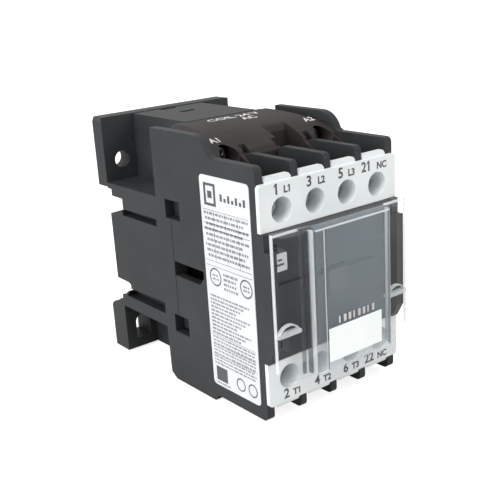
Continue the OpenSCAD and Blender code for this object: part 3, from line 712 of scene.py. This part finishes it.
def makeStripMarks():
    upper = {"1": -18.0, "L1": -14.5, "3": -7.4, "L2": -3.3, "5": 3.4, "L3": 7.2, "21": 12.6, "NC": 18.3}
    lower = {"2": -17.8, "T1": -14.2, "4": -7.1, "T2": -3.5, "6": 3.4, "T3": 7.1, "22": 12.4, "NC": 17.5}
    front = -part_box("top_terminal_strip")[0].y / mm
    for name, marks, base in (("upperMarks", upper, 26.1), ("lowerMarks", lower, -27.8)):
        bm = bmesh.new()
        for words, x in marks.items():
            size, weight = (3.7, 0.09) if words.isdigit() else (2.5, 0.09)
            addGrown(bm, markMesh(words, size, weight),
                     lambda p: at(x, front + 0.02, base) + Vector((p.x, -p.z, p.y)))
        finishPiece(name, bm, greyInk, "housing")
    print("strip marks made")


def makeHeadMarks():
    # raised marks that follow the falling top of the coil head
    marks = {
        # words: centre across, depth of the foot line, letter size
        "A1": (-16.7, 53.2, 3.0),
        "A2": (17.2, 51.8, 3.0),
        "COIL 24 V": (0.9, 38.8, 4.0),
        "AC": (3.2, 42.8, 3.6),
    }
    crown = dict(height=38.52, drop=4.4, start=33.4, run=23.1)
    bm = bmesh.new()
    for words, (x, depth, size) in marks.items():
        def place(p):
            forward = depth - p.y / mm
            share = (forward - crown["start"]) / crown["run"]
            return at(x, forward, crown["height"] - crown["drop"] * share ** 3) + Vector((p.x, 0, p.z))
        addGrown(bm, textMesh(words, size, 0.07), place)
    finishPiece("headMarks", bm, paleInk, "housing")
    print("head marks made")


def makeCoverMarks():
    # row of plain pale bars above the marker label
    low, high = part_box("marker_label")
    front, base = -low.y / mm, high.z / mm + 0.8
    place = lambda u, v, w: at(u, w, v)
    bm = bmesh.new()
    for i in range(8):
        left = -5.4 + i * 1.7
        wide, tall = (0.9, 1.9) if i % 3 else (0.5, 1.9)
        addPrism(bm, roundedBox(left, left + wide, base, base + tall, 0.15, 2), place, front - 0.05, front)
    finishPiece("coverMarks", bm, paleInk, "clear_cover")


def makeLabelPrint():
    # generic print on the side label: rows of short bars stand for words, with rules, rings and blocks
    random.seed(7)
    low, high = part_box("rating_label")
    rear, front = -high.y / mm, -low.y / mm
    top, face = high.z / mm, low.x / mm
    place = lambda u, v, w: Vector(((face - w) * mm, -(rear + u) * mm, (top - v) * mm))
    wide = front - rear
    bars = bmesh.new()
    solid = bmesh.new()

    def block(bm, u0, u1, v0, v1):
        addPrism(bm, [(u0, v0), (u1, v0), (u1, v1), (u0, v1)], place, -0.005, 0.012)

    def words(u0, u1, v, height):
        u = u0
        while u < u1 - 0.5:
            width = min(random.uniform(0.5, 1.9), u1 - u)
            block(bars, u, u + width, v, v + height)
            u += width + 0.3

    def rule(u0, u1, v):
        block(bars, u0, u1, v, v + 0.17)

    def ring(u, v, radius):
        outer = arcPoints(u, v, radius, 0, 360, 28)[:-1]
        inner = arcPoints(u, v, radius - 0.4, 0, 360, 28)[:-1]
        for i in range(28):
            j = (i + 1) % 28
            addPrism(solid, [outer[i], outer[j], inner[j], inner[i]], place, -0.005, 0.012)

    # title block: a square with a plain contact symbol left open in it
    block(solid, 1.6, 6.6, 1.9, 2.6)
    block(solid, 1.6, 6.6, 7.1, 7.8)
    block(solid, 1.6, 2.5, 2.6, 7.1)
    block(solid, 5.7, 6.6, 2.6, 7.1)
    block(solid, 3.2, 5.0, 3.9, 5.8)
    for i in range(7):
        block(solid, 8.4 + i * 1.55, 9.3 + i * 1.55, 4.1 + (i % 2) * 0.9, 6.0)
    for v in (8.9, 12.5, 13.9, 22.6, 24.0):
        rule(0.6, wide - 0.6, v)
    for i in range(9):
        words(1.0 + (i % 3) * 0.4, wide - 1.0 - (i % 2) * 2.0, 9.5 + i * 1.42, 0.7)
    for column in range(1, 4):
        block(bars, column * 5.0, column * 5.0 + 0.15, 9.0, 22.6)
    ring(4.2, 27.0, 2.5)
    ring(17.0, 27.2, 2.5)
    words(2.9, 5.6, 26.3, 0.5)
    words(2.9, 5.6, 27.3, 0.5)
    words(15.8, 18.3, 26.5, 0.5)
    words(15.8, 18.3, 27.5, 0.5)
    for i in range(4):
        words(7.6, 13.6, 25.2 + i * 1.3, 0.7)
    for i in range(11):
        words(1.2, wide - 2.6 - (i % 4) * 1.9, 32.2 + i * 1.05, 0.56)
    for v in (43.6, 46.5, 49.4):
        rule(0.8, wide - 0.8, v)
    for i in range(9):
        words(1.2, wide - 1.2, 44.1 + i * 0.95, 0.48)
    # foot: a plain block and two plain outlines
    block(solid, 1.6, 6.4, 52.9, 57.0)
    words(1.6, 7.6, 57.5, 0.5)
    ring(12.2, 55.2, 1.9)
    ring(17.2, 55.2, 1.9)
    finishPiece("labelPrint", bars, faintInk, "housing")
    finishPiece("labelBlocks", solid, greyInk, "housing")
    print("label print made")


def makeRecessBacks():
    # walls behind the four square recesses at the joint of base and housing, just inside the side walls
    values = dict(x=20.3, halfT=0.35, rear=39.1, front=44.2, low=13.9, high=21.6)
    low, high = values["low"], values["high"]
    bm = bmesh.new()
    for s in (-1, 1):
        inner, outer = s * values["x"] - values["halfT"], s * values["x"] + values["halfT"]
        for z0, z1 in ((low, high), (-high, -low)):
            addBox(bm, inner, outer, values["rear"], values["front"], z0, z1)
    finishPiece("recessBacks", bm, blackPlastic, "housing")


def makeFrontSticker():
    # blank sticker on the front plate behind the left wing of the cover
    place = lambda u, v, w: at(u, w, v)
    bm = bmesh.new()
    addPrism(bm, roundedBox(-20.2, -15.6, 6.6, 11.2, 0.3, 3), place, 77.4, 77.5)
    finishPiece("frontSticker", bm, labelFilm, "housing")
    bm = bmesh.new()
    addPrism(bm, roundedBox(-19.2, -16.6, 8.0, 8.6, 0.1, 2), place, 77.5, 77.515)
    addPrism(bm, roundedBox(-18.6, -17.2, 9.2, 9.8, 0.1, 2), place, 77.5, 77.515)
    finishPiece("stickerMark", bm, greyInk, "housing")


makeSprings()
makeScrews()
makeCoverHighlightsAndShades(*makeCover())
makeFingerGrips()
makeStripMarks()
makeHeadMarks()
makeCoverMarks()
makeLabelPrint()
makeFrontSticker()
makeRecessBacks()


# ---- floor, light and camera ----

def makeFloor():
    # plain sheet, far wider than the view, lit evenly enough to run into the backdrop
    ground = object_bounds()[0].z - 0.0002
    bm = bmesh.new()
    size = 12
    for x, y in ((-size, -size), (size, -size), (size, size), (-size, size)):
        bm.verts.new((x, y, ground))
    bm.faces.new(bm.verts)
    mesh = bpy.data.meshes.new("floor")
    bm.to_mesh(mesh)
    bm.free()
    floor = bpy.data.objects.new("floor", mesh)
    bpy.context.collection.objects.link(floor)
    material, tree, shader, coords = newMaterial("paleFloor")
    colour = blendColour(tree, addNoise(tree, coords, 3), (0.5, 0.5, 0.5), (0.53, 0.53, 0.53))
    tree.links.new(colour, shader.inputs["Base Color"])
    shader.inputs["Roughness"].default_value = 0.9
    shader.inputs["Specular IOR Level"].default_value = 0.1
    seen = tree.nodes.new("ShaderNodeLightPath")
    glow = tree.nodes.new("ShaderNodeMath")
    glow.operation = "MULTIPLY"
    glow.inputs[1].default_value = 0.8
    tree.links.new(seen.outputs["Is Camera Ray"], glow.inputs[0])
    shader.inputs["Emission Color"].default_value = (1, 1, 1, 1)
    tree.links.new(glow.outputs["Value"], shader.inputs["Emission Strength"])
    mesh.materials.append(material)


def addLight(name, place, aim, size, power):
    data = bpy.data.lights.new(name, "AREA")
    data.size = size
    data.energy = power
    light = bpy.data.objects.new(name, data)
    light.location = place
    light.rotation_mode = "QUATERNION"
    light.rotation_quaternion = (Vector(aim) - Vector(place)).to_track_quat("-Z", "Y")
    bpy.context.collection.objects.link(light)


def makeWorld():
    # white to the camera; to the object the room is brighter behind its left side than in front of it
    world = bpy.data.worlds.new("studio")
    bpy.context.scene.world = world
    world.use_nodes = True
    tree = world.node_tree
    background = tree.nodes["Background"]
    coords = tree.nodes.new("ShaderNodeTexCoord")
    toward = tree.nodes.new("ShaderNodeVectorMath")
    toward.operation = "DOT_PRODUCT"
    toward.inputs[1].default_value = (-0.6, 0.6, 0.5)
    tree.links.new(coords.outputs["Generated"], toward.inputs[0])
    room = tree.nodes.new("ShaderNodeMapRange")
    room.inputs["From Min"].default_value = -0.8
    room.inputs["From Max"].default_value = 0.9
    room.inputs["To Min"].default_value = 0.15
    room.inputs["To Max"].default_value = 1.0
    tree.links.new(toward.outputs["Value"], room.inputs["Value"])
    seen = tree.nodes.new("ShaderNodeLightPath")
    mix = tree.nodes.new("ShaderNodeMix")
    tree.links.new(seen.outputs["Is Camera Ray"], mix.inputs["Factor"])
    tree.links.new(room.outputs["Result"], mix.inputs["A"])
    mix.inputs["B"].default_value = 1.0
    tree.links.new(mix.outputs["Result"], background.inputs["Strength"])
    background.inputs["Color"].default_value = (1, 1, 1, 1)


def makeLights():
    aim = (0, -0.04, 0)
    addLight("leftBox", (-0.55, -0.1, 0.22), aim, 0.5, 3.5)
    addLight("topBox", (-0.1, -0.25, 0.6), aim, 0.4, 2.0)
    addLight("frontBox", (0.12, -0.7, 0.3), aim, 0.4, 2.0)


def makeCamera():
    turn, lift, roll = math.radians(-37.68), math.radians(17.62), math.radians(-3.46)
    back = Vector((math.sin(turn) * math.cos(lift), -math.cos(turn) * math.cos(lift), math.sin(lift)))
    right0 = Vector((0, 0, 1)).cross(back).normalized()
    up0 = back.cross(right0)
    right = math.cos(roll) * right0 + math.sin(roll) * up0
    up = -math.sin(roll) * right0 + math.cos(roll) * up0
    data = bpy.data.cameras.new("camera")
    data.sensor_width = 36
    data.lens = 62.67
    camera = bpy.data.objects.new("camera", data)
    matrix = Matrix((right, up, back)).transposed().to_4x4()
    matrix.translation = Vector((-0.14687, -0.23280, 0.07668))
    camera.matrix_world = matrix
    data.clip_start = 0.01
    bpy.context.collection.objects.link(camera)
    bpy.context.scene.camera = camera


makeFloor()
makeWorld()
makeLights()
makeCamera()
bpy.context.scene.view_settings.view_transform = "Standard"
print("stage made")
